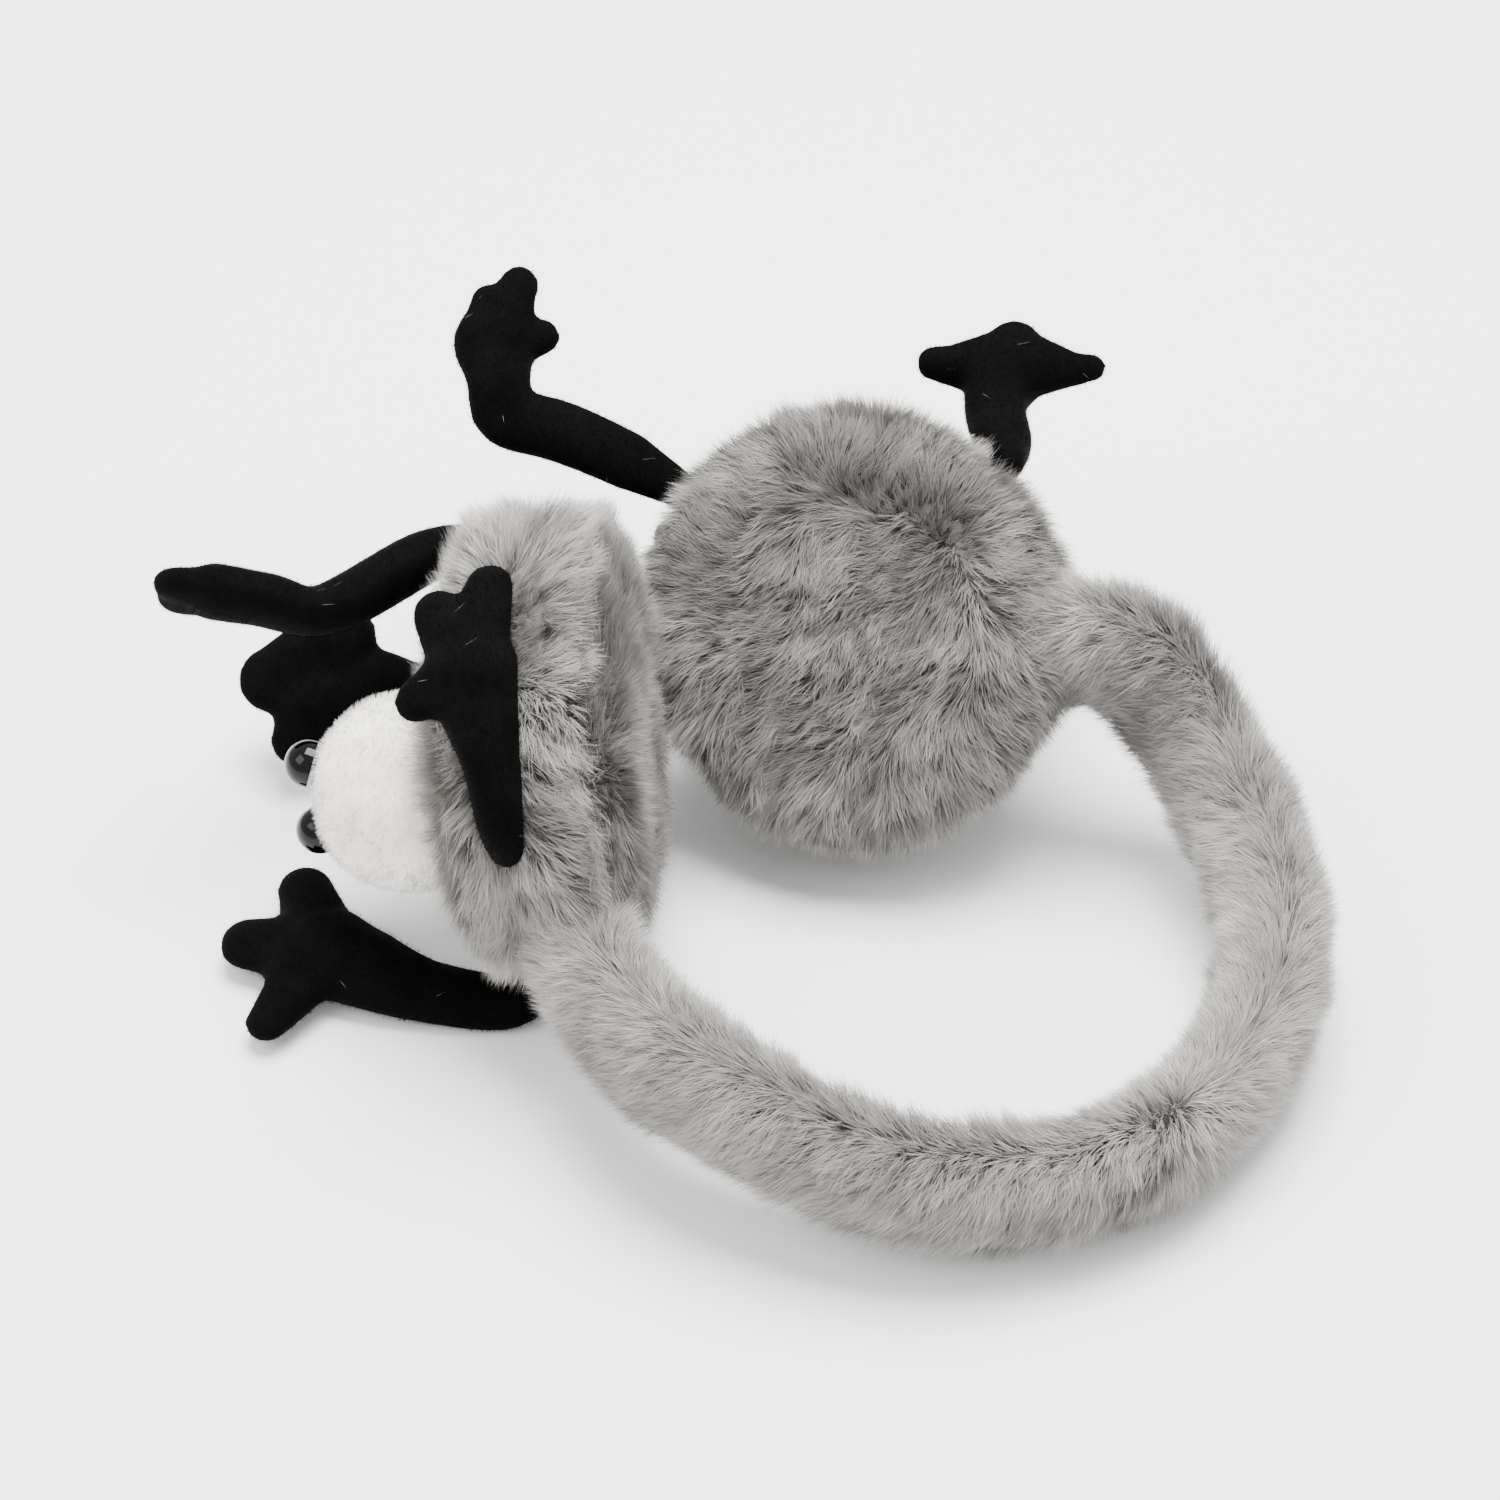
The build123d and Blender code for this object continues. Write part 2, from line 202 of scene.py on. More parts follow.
# the CAD nodes' own materials, by a word in their names
nodeMaterials = {
    "eye": eyeGloss, "washer": nylon, "hinge_tab": nylon, "backing_plate": nylon,
    "hinge_pin": springSteel, "spring_strip": springSteel, "wadding": wadding, "filling": wadding,
}
for name, node in nodes.items():
    for word, material in nodeMaterials.items():
        if word in name:
            node.data.materials.clear()
            node.data.materials.append(material)


pad = {"earDepth": 29 * mm, "rim": 54 * mm}  # from the ear face in to the middle, and the pile's radius


# a pad's own axes: x towards the headband, y upwards, z out of the ear side
class PadPlace:
    def __init__(self, side):
        face = mounts[side + "_ear_face"]
        self.z = unit(face["axis"])
        self.centre = np.array(face["pos_m"]) - self.z * pad["earDepth"]
        pin = np.array(joints[side + "_pad_tilt"]["pos_m"]) - self.centre
        self.x = unit(pin - self.z * (pin @ self.z))
        self.y = np.cross(self.z, self.x)
        self.y = self.y * np.sign(self.y[2])

    def world(self, local):
        local = np.asarray(local, float)
        return self.centre + local[..., :1] * self.x + local[..., 1:2] * self.y + local[..., 2:3] * self.z

    def local(self, points):
        away = np.asarray(points) - self.centre
        return np.stack([away @ self.x, away @ self.y, away @ self.z], -1)

    def turn(self, ways):
        ways = np.asarray(ways, float)
        return ways[..., :1] * self.x + ways[..., 1:2] * self.y + ways[..., 2:3] * self.z

    # a place by its distance outside the rim in mm, its angle, and its height in mm
    def polar(self, outside, angle, height):
        radius, angle = pad["rim"] + outside * mm, math.radians(angle)
        return self.world([radius * math.cos(angle), radius * math.sin(angle), height * mm])


places = {side: PadPlace(side) for side in ("left", "right")}


# how strands and clumps vary on every piece, and how many times fewer a quick one has
strand = {
    "fewer": 3, "still": 0.5, "stillLift": 45, "tousleSize": 0.36, "clumpLength": (0.85, 1.1),
    "patchTone": 0.13, "clumpTone": 0.08, "fineTone": 0.1, "finePatch": 0.3, "liftSize": 0.5,
    "length": (0.7, 1.05), "lift": 6, "roll": 0.7, "width": (0.7, 1.3), "taper": 0.65,
    "floorSpread": 0.3 * mm, "tone": 0.09, "mapEdge": 0.02,
}


# points spread evenly over a mesh, with its smooth normals there
def scatter(skin, count, rng):
    mesh = skin.data
    mesh.calc_loop_triangles()
    co = np.empty(len(mesh.vertices) * 3)
    mesh.vertices.foreach_get("co", co)
    normal = np.empty(len(mesh.vertices) * 3)
    mesh.vertices.foreach_get("normal", normal)
    co, normal = co.reshape(-1, 3), normal.reshape(-1, 3)
    tri = np.empty(len(mesh.loop_triangles) * 3, int)
    mesh.loop_triangles.foreach_get("vertices", tri)
    tri = tri.reshape(-1, 3)
    a, b, c = co[tri[:, 0]], co[tri[:, 1]], co[tri[:, 2]]
    area = np.linalg.norm(np.cross(b - a, c - a), axis=1)
    pick = rng.choice(len(tri), count, p=area / area.sum())
    u, v = rng.random(count), rng.random(count)
    flip = u + v > 1
    u[flip], v[flip] = 1 - u[flip], 1 - v[flip]
    weight = np.stack([1 - u - v, u, v], 1)[:, :, None]
    return (co[tri[pick]] * weight).sum(1), unit((normal[tri[pick]] * weight).sum(1))


# tapered strands in clumps over a skin: flow gives the way they lie, reach scales their length,
# shade shifts their tone, which runs from 0 to 1, and keep says which roots stay
def growPile(name, skin, pile, material, seed, flow, reach=None, shade=None, keep=None):
    rng = np.random.default_rng(seed)
    count = int(pile["strands"] / (1))
    perClump = pile["perClump"]
    wanted = count // perClump
    centre, normal = scatter(skin, wanted * (3 if keep else 1), rng)  # spare roots where some are dropped
    if keep:
        stay = np.flatnonzero(keep(centre))[:wanted]
        centre, normal = centre[stay], normal[stay]
    way = flow(centre, normal)
    way = way - normal * (way * normal).sum(1, keepdims=True)
    # the pile stands up where it parts
    calm = 1 - np.clip(np.linalg.norm(way, axis=1) / strand["still"], 0, 1)
    way = unit(way)
    side = np.cross(normal, way)
    swirl = pile["swirl"] * waves(centre, pile["swirlSize"], seed + 1)
    swirl += pile["tousle"] * waves(centre, pile["swirlSize"] * strand["tousleSize"], seed + 4)
    swirl = np.radians(swirl + rng.normal(0, pile["clumpSpread"], len(centre)))[:, None]
    way = way * np.cos(swirl) + side * np.sin(swirl)
    length = pile["length"] * rng.uniform(*strand["clumpLength"], len(centre))
    if reach:
        length = length * reach(centre)
    tone = 0.5 + strand["patchTone"] * waves(centre, pile["patch"], seed + 2)
    tone += rng.normal(0, strand["clumpTone"], len(centre))
    tone += strand["fineTone"] * waves(centre, pile["patch"] * strand["finePatch"], seed + 5)
    if shade:
        tone = tone + shade(centre)
    lift = pile["lift"] + pile["liftSwing"] * waves(centre, pile["swirlSize"] * strand["liftSize"], seed + 3)
    lift = lift + strand["stillLift"] * calm

    # from clumps to strands
    centre, normal, way, length, tone, lift = (
        np.repeat(x, perClump, 0) for x in (centre, normal, way, length, tone, lift))
    n = len(centre)
    side = np.cross(normal, way)
    offset = rng.normal(0, pile["clumpRadius"], (n, 2))
    shift = way * offset[:, :1] + side * offset[:, 1:]
    stray = np.radians(rng.normal(0, pile["strandSpread"], n))[:, None]
    way = way * np.cos(stray) + side * np.sin(stray)
    side = np.cross(normal, way)
    length = (length * rng.uniform(*strand["length"], n))[:, None]
    lift = np.radians(lift + rng.normal(0, strand["lift"], n))[:, None]
    roll = rng.uniform(-strand["roll"], strand["roll"], n)[:, None]
    steps = pile["steps"]
    point = centre + shift - normal * pile["sink"]
    rows, last = [], 0.0
    for step, share in enumerate(steps):
        if step:
            angle = lift + pile["stand"] * (1 - (share + last) / 2)
            point = point + (way * np.cos(angle) + normal * np.sin(angle)) * length * (share - last)
            point = point - shift * pile["pull"] * (share - last)
            last = share
        rows.append(point)
    across = unit(side * np.cos(roll) + normal * np.sin(roll))
    width = pile["width"] * rng.uniform(*strand["width"], n)[:, None]
    points = []
    for step, row in enumerate(rows[:-1]):
        half = across * width * (1 - steps[step] * strand["taper"]) / 2
        points += [row - half, row + half]
    points.append(rows[-1])
    points = np.stack(points, 1)
    lowest = pile["floor"] + strand["floorSpread"] * rng.random((n, 1))
    points[..., 2] = np.maximum(points[..., 2], lowest)
    each = points.shape[1]
    base = np.arange(n)[:, None] * each
    quads = [base + np.array([[k, k + 1, k + 3, k + 2]]) for k in range(0, 2 * len(steps) - 4, 2)]
    tip = base + np.array([[each - 3, each - 2, each - 1]])

    mesh = bpy.data.meshes.new(name)
    loops = np.concatenate([np.concatenate(quads, 1), tip], 1).ravel()
    sizes = np.tile([4] * len(quads) + [3], n)
    mesh.vertices.add(n * each)
    mesh.vertices.foreach_set("co", points.ravel())
    mesh.loops.add(len(loops))
    mesh.loops.foreach_set("vertex_index", loops)
    mesh.polygons.add(len(sizes))
    mesh.polygons.foreach_set("loop_start", np.concatenate([[0], np.cumsum(sizes)[:-1]]))
    mesh.polygons.foreach_set("use_smooth", np.ones(len(sizes), bool))
    edge = strand["mapEdge"]  # keeps the map's corners off its border
    tones = np.clip(tone + rng.normal(0, strand["tone"], n), edge, 1 - edge)
    up = np.repeat(steps[:-1], 2).tolist() + [1.0]
    uv = np.stack([np.repeat(tones[:, None], each, 1), np.tile(up, (n, 1))], -1).reshape(-1, 2)
    uv[:, 1] = uv[:, 1] * (1 - 2 * edge) + edge
    mesh.uv_layers.new(name="OFBake").data.foreach_set("uv", uv[loops].ravel())
    mesh.update(calc_edges=True)
    mesh.materials.append(material)
    pileObject = bpy.data.objects.new(name, mesh)
    bpy.context.collection.objects.link(pileObject)
    return pileObject


def attach(thing, body):
    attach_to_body(thing, body)


padShape = {
    # radius and height in mm, from the body side's middle round the seam to the ear face's middle
    "profile": [(0, -20), (15, -19.5), (30, -17.5), (41, -13.5), (47, -8.5), (47.5, -5), (46.2, -1.8),
                (45, 0), (46, 2), (47, 5.5), (47.5, 11), (45.5, 17), (38, 21.5), (22, 23.5), (0, 24)],
    "spokes": 56, "seamHeight": 1.6 * mm, "seamRadius": 46.5 * mm,
    "pressure": 3.0, "tension": 25, "frames": 18, "cap": 4 * mm,
    # where the stuffing bulges, as an angle in degrees and mm, and how narrow a bulge is
    "swell": {"left": [(180, 10), (30, 3)], "right": [(140, 5), (-105, 3)]},
    "swellNarrow": 1.5, "swellRadius": 47 * mm,
}
padPile = {
    "strands": 64000, "perClump": 6, "length": 12 * mm, "width": 0.23 * mm, "sink": 0.4 * mm,
    "clumpRadius": 0.6 * mm, "clumpSpread": 14, "strandSpread": 9, "pull": 0.55, "lift": 14, "liftSwing": 16,
    "stand": math.radians(62), "swirl": 34, "tousle": 26, "swirlSize": 30 * mm, "patch": 20 * mm,
    "steps": [0, 0.45, 1], "floor": 0.2 * mm,
}
# the way the pads' pile lies: the fan is measured in mm from the middle, the rest are pulls
padLie = {
    "fanWidth": 22, "fanStart": 0.9, "brushed": (-0.8, -0.75, 0), "brushPull": 1.2,
    "earSide": 0.9, "bodySide": 0.6, "sideDroop": 0.5, "droop": 0.1,
    "shortWidth": 26 * mm, "shortDepth": 5 * mm, "shorter": 0.3,
}
# painted shade: how much darker the pile is in the seam's valley and over the ear face, and how much paler it is
# on the body side
paintedPadShading = {
    "valley": 0.08, "valleyWidth": 3.5, "valleyInside": 46,
    "face": 0.38, "faceEdge": 52, "faceFade": 20, "faceDepth": 8 * mm,
    "body": 0.05, "bodyDepth": -3 * mm,
}


# the stuffed pad: a turned profile, blown up as cloth with its seam held
def padSkin(side):
    place = places[side]
    work = bmesh.new()
    ring = [work.verts.new((r * mm, 0, z * mm)) for r, z in padShape["profile"]]
    edges = [work.edges.new(pair) for pair in zip(ring, ring[1:])]
    bmesh.ops.spin(work, geom=ring + edges, cent=(0, 0, 0), axis=(0, 0, 1), angle=2 * math.pi,
                   steps=padShape["spokes"], use_merge=True)
    bmesh.ops.remove_doubles(work, verts=work.verts, dist=0.01 * mm)
    bmesh.ops.recalc_face_normals(work, faces=work.faces)
    mesh = bpy.data.meshes.new(side + "_pad_skin")
    work.to_mesh(mesh)
    work.free()
    skin = bpy.data.objects.new(side + "_pad_skin", mesh)
    bpy.context.collection.objects.link(skin)
    rest = np.array([v.co for v in mesh.vertices])
    held = skin.vertex_groups.new(name="seam")
    radius = np.hypot(rest[:, 0], rest[:, 1])
    atSeam = (abs(rest[:, 2]) < padShape["seamHeight"]) & (radius < padShape["seamRadius"])
    held.add([int(i) for i in np.flatnonzero(atSeam)], 1.0, "REPLACE")
    cloth = skin.modifiers.new("puff", "CLOTH")
    cloth.settings.vertex_group_mass = "seam"
    cloth.settings.use_pressure = True
    cloth.settings.uniform_pressure_force = padShape["pressure"]
    cloth.settings.effector_weights.gravity = 0
    cloth.settings.tension_stiffness = padShape["tension"]
    for step in range(1, padShape["frames"] + 1):
        bpy.context.scene.frame_set(step)
    applyModifier(skin, "puff")
    bpy.context.scene.frame_set(1)
    moved = np.array([v.co for v in skin.data.vertices]) - rest
    far = np.linalg.norm(moved, axis=1, keepdims=True)
    rest = rest + moved * np.minimum(1, padShape["cap"] / np.maximum(far, 1e-9))
    around, radius = np.arctan2(rest[:, 1], rest[:, 0]), np.hypot(rest[:, 0], rest[:, 1])
    for angle, bulge in padShape["swell"][side]:
        facing = np.clip(np.cos(around - math.radians(angle)), 0, 1) ** padShape["swellNarrow"]
        push = bulge * mm * facing * radius / padShape["swellRadius"]
        rest[:, 0] += np.cos(around) * push
        rest[:, 1] += np.sin(around) * push
    points = place.world(rest)
    if np.dot(np.cross(place.x, place.y), place.z) < 0:
        skin.data.flip_normals()
    skin.data.vertices.foreach_set("co", points.ravel())
    skin.modifiers.new("smooth", "SUBSURF").levels = 1
    applyModifier(skin, "smooth")
    skin.data.polygons.foreach_set("use_smooth", np.ones(len(skin.data.polygons), bool))
    skin.data.materials.append(furBacking)
    skin.data.update()
    return skin


# the pile is brushed across the middle of each face, fans out round it, and falls over the sides
def padFlow(side, points, normals):
    place = places[side]
    at = place.local(points)
    out = at.copy()
    out[:, 2] = 0
    radius = np.linalg.norm(out, axis=1, keepdims=True) / mm
    rim = np.clip(radius / padLie["fanWidth"] - padLie["fanStart"], 0, 1)
    facing = np.abs(normals @ place.z)[:, None]
    ear = (at[:, 2:] > 0).astype(float)
    rise = np.array([0, 0, 1.0])
    brushed = unit(place.turn(np.array(padLie["brushed"])))
    face = place.turn(unit(out)) * rim + brushed * (1 - rim) * padLie["brushPull"]
    sides = place.z * (padLie["earSide"] * ear - padLie["bodySide"] * (1 - ear)) - rise * padLie["sideDroop"]
    return face * facing + sides * (1 - facing) - rise * padLie["droop"]


# shorter where the ear has pressed it
def padReach(side, points):
    at = places[side].local(points)
    middle = np.exp(-(np.hypot(at[:, 0], at[:, 1]) / padLie["shortWidth"]) ** 2)
    return 1 - padLie["shorter"] * middle * (at[:, 2] > padLie["shortDepth"])


# lighter at the rims and on the body side; darker in the seam and over the ear face, where the darkening is
# painted shade
def padPaintedShade(side, points):
    at = places[side].local(points)
    radius = np.hypot(at[:, 0], at[:, 1]) / mm
    # painted shade in the crease of the seam
    valley = np.exp(-((at[:, 2] / mm) / paintedPadShading["valleyWidth"]) ** 2) * (radius < paintedPadShading["valleyInside"])
    # painted shade over the ear face, fading out towards the rim
    face = np.clip((paintedPadShading["faceEdge"] - radius) / paintedPadShading["faceFade"], 0, 1)
    face = face * np.clip(at[:, 2] / paintedPadShading["faceDepth"], 0, 1)
    body = at[:, 2] < paintedPadShading["bodyDepth"]
    return paintedPadShading["body"] * body - paintedPadShading["valley"] * valley - paintedPadShading["face"] * face


for index, side in enumerate(places):
    skin = padSkin(side)
    attach(skin, side + "_pad")
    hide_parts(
        side + "_ear_cover", side + "_body_cover", side + "_ear_filling", side + "_body_filling")
    for half, way in {"ear": 1, "body": -1}.items():
        tuft = growPile(
            f"{side}_{half}_pile", skin, padPile, greyFur, 100 * index + way + 1,
            lambda p, n: padFlow(side, p, n), lambda p: padReach(side, p), lambda p: padPaintedShade(side, p),
            lambda p: places[side].local(p)[:, 2] * way > 0)
        attach(tuft, side + "_pad")
    print(side, "pad done")


band = {
    "radius": 83 * mm, "hingeOut": 11 * mm, "halfDepth": 7.5 * mm, "halfHeight": 13 * mm, "hingeAngle": 40,
    "bend": {"left": (-85, 86 * mm), "right": (85, 83 * mm)}, "swivel": {"left": 24, "right": 7},
    "sleeveEnd": 18 * mm, "tuckedIn": 4 * mm, "stations": 90, "spokes": 22, "samples": 30, "tailSamples": 8,
    "lump": 0.05, "lumpSize": 45 * mm, "lumpSeed": {"left": 5, "right": 6}, "floor": 1.5 * mm,
    "blendFrom": 25, "blendTo": 55, "pileFrom": 46 * mm,
}
# the band's pile: how strongly it runs along, leans out from the parting and droops
bandLie = {
    "partWidth": 2.5 * mm, "crownStations": 9, "along": 0.1, "alongMore": 0.65, "lean": 0.7, "droop": 0.25,
}
# painted shade near the pads: how much it darkens the band, and where and how wide it is
paintedBandShading = {"paintedShade": 0.17, "paintedShadeAt": 0.78, "paintedShadeWidth": 0.16}  # as shares of the way from crown to pad
bandPile = dict(padPile, strands=58000, lift=13, liftSwing=13, swirl=24, tousle=20, swirlSize=26 * mm)
flexes = {side: joints[side + "_band_flex"] for side in places}
flexAt = {side: np.array(flexes[side]["pos_m"]) for side in places}
loopUp = unit(flexes["left"]["axis"])
loopSide = unit(flexAt["right"] - flexAt["left"])
loopCrown = np.cross(loopSide, loopUp)
outerRadius = band["radius"] + band["hingeOut"]
hingeHeight = outerRadius * math.cos(math.radians(band["hingeAngle"]))
loopCentre = (flexAt["left"] + flexAt["right"]) / 2 - loopCrown * hingeHeight


def loopPoint(angle, radius=band["radius"]):
    angle = math.radians(angle)
    return loopCentre + radius * (loopCrown * math.cos(angle) + loopSide * math.sin(angle))


# a smooth curve from a to b that leaves along fromWay and arrives along toWay
def hermite(a, b, fromWay, toWay, t):
    t = t[:, None]
    start = (2 * t**3 - 3 * t**2 + 1) * a + (t**3 - 2 * t**2 + t) * fromWay
    return start + (3 * t**2 - 2 * t**3) * b + (t**3 - t**2) * toWay


# the band's centre line from the crown's middle to inside the pad
def bandLine(side):
    turn = -1 if side == "left" else 1
    place = places[side]
    swivel = math.radians(band["swivel"][side])
    out = place.x * math.cos(swivel) + place.z * math.sin(swivel)
    pin = np.array(joints[side + "_pad_tilt"]["pos_m"])
    angles = np.linspace(0, band["hingeAngle"] * turn, band["samples"])[:-1]
    arc = np.array([loopPoint(a) for a in angles])
    start, end = loopPoint(band["hingeAngle"] * turn), pin + out * band["sleeveEnd"]
    bendAngle, bendRadius = band["bend"][side]
    bend = loopPoint(bendAngle, bendRadius)
    startWay = unit(loopPoint((band["hingeAngle"] + 90) * turn) - loopCentre)
    bendWay = unit(end - start)
    t = np.linspace(0, 1, band["samples"])
    first, second = np.linalg.norm(bend - start), np.linalg.norm(end - bend)
    near = hermite(start, bend, startWay * first, bendWay * first, t)[:-1]
    far = hermite(bend, end, bendWay * second, -out * second, t)
    inwards = np.linspace(0, 1, band["tailSamples"])[1:, None]
    tail = end - out * inwards * (band["sleeveEnd"] - band["tuckedIn"])
    return np.concatenate([arc, near, far, tail])


# an oval tube along the centre line, a little uneven like soft wadding
def bandSkin(side):
    line = bandLine(side)
    travel = np.concatenate([[0], np.cumsum(np.linalg.norm(np.diff(line, axis=0), axis=1))])
    even = np.linspace(0, travel[-1], band["stations"])
    line = np.stack([np.interp(even, travel, line[:, k]) for k in range(3)], 1)
    along = unit(np.gradient(line, axis=0))
    deep = unit(np.cross(along, loopUp))
    high = np.cross(deep, along)
    spin = np.linspace(0, 2 * math.pi, band["spokes"], endpoint=False)
    lump = 1 + band["lump"] * waves(line, band["lumpSize"], band["lumpSeed"][side])
    oval = (deep[:, None] * band["halfDepth"] * np.cos(spin)[None, :, None]
            + high[:, None] * band["halfHeight"] * np.sin(spin)[None, :, None])
    points = (line[:, None] + lump[:, None, None] * oval).reshape(-1, 3)
    points[:, 2] = np.maximum(points[:, 2], band["floor"])
    n, m = band["stations"], band["spokes"]
    faces = [(i * m + j, i * m + (j + 1) % m, (i + 1) * m + (j + 1) % m, (i + 1) * m + j)
             for i in range(n - 1) for j in range(m)]
    faces.append(tuple((n - 1) * m + j for j in range(m)))
    skin = meshObject(side + "_band_skin", points, faces, furBacking)
    selectOnly(skin)
    bpy.ops.object.mode_set(mode="EDIT")
    bpy.ops.mesh.select_all(action="SELECT")
    bpy.ops.mesh.normals_make_consistent(inside=False)
    bpy.ops.object.mode_set(mode="OBJECT")
    skin.data.polygons.foreach_set("use_smooth", np.ones(len(skin.data.polygons), bool))
    return skin, line, along


# the centre line's nearest point, worked out in batches to save memory
def nearestStation(line, points):
    batch = 4000
    nearest = np.empty(len(points), int)
    for start in range(0, len(points), batch):
        some = points[start:start + batch]
        nearest[start:start + batch] = np.argmin(((some[:, None] - line[None]) ** 2).sum(2), 1)
    return nearest


# painted shade: darker towards the pads, where they shade the band
def bandPaintedShade(line, points):
    share = nearestStation(line, points) / len(line)
    return -paintedBandShading["paintedShade"] * np.exp(-((share - paintedBandShading["paintedShadeAt"]) / paintedBandShading["paintedShadeWidth"]) ** 2)


# pile runs away from the crown, and parts along the middle of the band's top
def bandFlow(line, along, points):
    nearest = nearestStation(line, points)
    forward = along[nearest]
    outward = unit(np.cross(forward, loopUp))
    away = points - line[nearest]
    lean = np.tanh((away * outward).sum(1, keepdims=True) / bandLie["partWidth"])
    pastCrown = np.clip(nearest / bandLie["crownStations"], 0, 1)[:, None]
    forward = forward * (bandLie["along"] + bandLie["alongMore"] * pastCrown)
    return forward + lean * outward * bandLie["lean"] - loopUp * bandLie["droop"]


for index, side in enumerate(places):
    skin, line, along = bandSkin(side)
    pieces = [skin]
    place = places[side]
    for bunch in (1, 2):
        pieces.append(growPile(
            f"{side}_band_pile_{bunch}", skin, bandPile, greyFur, 500 + 10 * index + bunch,
            lambda p, n: bandFlow(line, along, p), shade=lambda p: bandPaintedShade(line, p),
            keep=lambda p: np.linalg.norm(place.local(p)[:, :2], axis=1) > band["pileFrom"]))
    for piece in pieces:
        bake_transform(piece)
    covered = [f"{side}_arm_fur_sleeve", f"{side}_arm_wadding"]
    if side == "left":
        covered += ["crown_fur_sleeve", "crown_wadding"]
    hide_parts(*covered)
    print(side, "band done")


limbShape = {
    "step": 2.2 * mm, "voxel": 1.1 * mm, "flat": 0.62, "web": 0.45, "webShares": (0.2, 0.35, 0.5, 0.65, 0.8),
    "tipRound": 3.3, "tipSteps": 8, "wrist": 0.8, "relax": 0.6, "relaxTimes": 10, "floor": 0.4 * mm,
}
fuzz = dict(padPile, strands=7000, perClump=1, length=1.5 * mm, width=0.12 * mm, sink=0.2 * mm,
            clumpRadius=0.0, clumpSpread=40, lift=35, liftSwing=5, stand=0.3, swirl=30, patch=8 * mm,
            steps=[0, 0.5, 1])
lint = dict(fuzz, strands=12, length=5 * mm, width=0.06 * mm, lift=4, liftSwing=0, stand=0.1)
domeTop = -26  # mm, the top of the body side's dome

# a limb's line and its fingertips: mm outside the rim, degrees round the pad, then height and radius in mm
limbs = {
    "left_upper_arm": {
        "line": [(2, 38, 0, 4), (7, 47, 0, 6), (8, 62, -1, 7.5), (8.5, 81, -5, 12)], "web": 0.5,
        "fingers": [(8, 98, -15, 6.5), (9, 104, -1, 6.5), (8, 74, -20, 6)]},
    "left_lower_arm": {
        "line": [(2, -37, 0, 4), (8, -35, -12, 8.5), (4, -34, domeTop - 7, 9.5), (-2, -36, domeTop - 22, 12),
                 (-6, -40, domeTop - 32, 13.5)],
        "fingers": [(-14, -71, domeTop - 41, 7.5), (-9, -42, domeTop - 56, 8), (11, -20, domeTop - 45, 6)]},
    "left_upper_leg": {
        "line": [(4, 186, 0, 4), (10, 187, -12, 7), (6, 182, domeTop - 2, 9), (-14, 168, domeTop - 27, 9),
                 (-12, 159, domeTop - 42, 10.5), (-10, 156, domeTop - 52, 11)],
        "fingers": [(-10, 161, domeTop - 66, 7), (-7, 150, domeTop - 65, 7)]},
    "left_lower_leg": {
        "line": [(2, -140, 0, 4), (8, -142, -12, 8), (4, -133, domeTop - 12, 10), (5, -134, domeTop - 25, 13),
                 (7, -136, domeTop - 38, 15)], "web": 0.95,
        "fingers": [(6, -141, domeTop - 58, 9), (12, -154, domeTop - 32, 11), (2, -121, domeTop - 49, 7)]},
    "right_upper_arm": {
        "line": [(1, 52, 0, 4), (3, 57, -12, 8), (9, 64, -22, 8.5), (17, 65, -28, 10.5)], "web": 0.75,
        "fingers": [(13, 82, -25, 5), (27, 67, -34, 8), (31, 52, -31, 4)]},
    "right_lower_arm": {
        "line": [(-9, -44, 0, 4), (-9, -43, -12, 5), (-12, -38, domeTop - 3, 8), (-16, -26, domeTop - 18, 9),
                 (-17, -5, domeTop - 42, 13)],
        "fingers": [(-15, 16, domeTop - 46, 7), (-18, 0, domeTop - 54, 7.5), (-10, -14, domeTop - 44, 6.5)]},
    "right_upper_leg": {
        "line": [(0, 147, 0, 4), (20, 148.5, 4, 8), (38, 150.5, 7, 8.5), (52, 152.5, 10, 8.5),
                 (58, 149, 10, 8.5), (65, 146, 6, 11)],
        "fingers": [(74, 142, 4, 5.5), (71, 138, 1, 5.5), (56, 141, 1, 5)]},
    "right_lower_leg": {
        "line": [(-5, -149, 0, 4), (-4, -151, -12, 6), (-4, -158, domeTop - 2, 8),
                 (-2, -168, domeTop - 18, 9), (4, 178, domeTop - 38, 13)],
        "fingers": [(12, 168, domeTop - 44, 7), (8, 179, domeTop - 50, 7.5), (2, -171, domeTop - 40, 7)]},
}


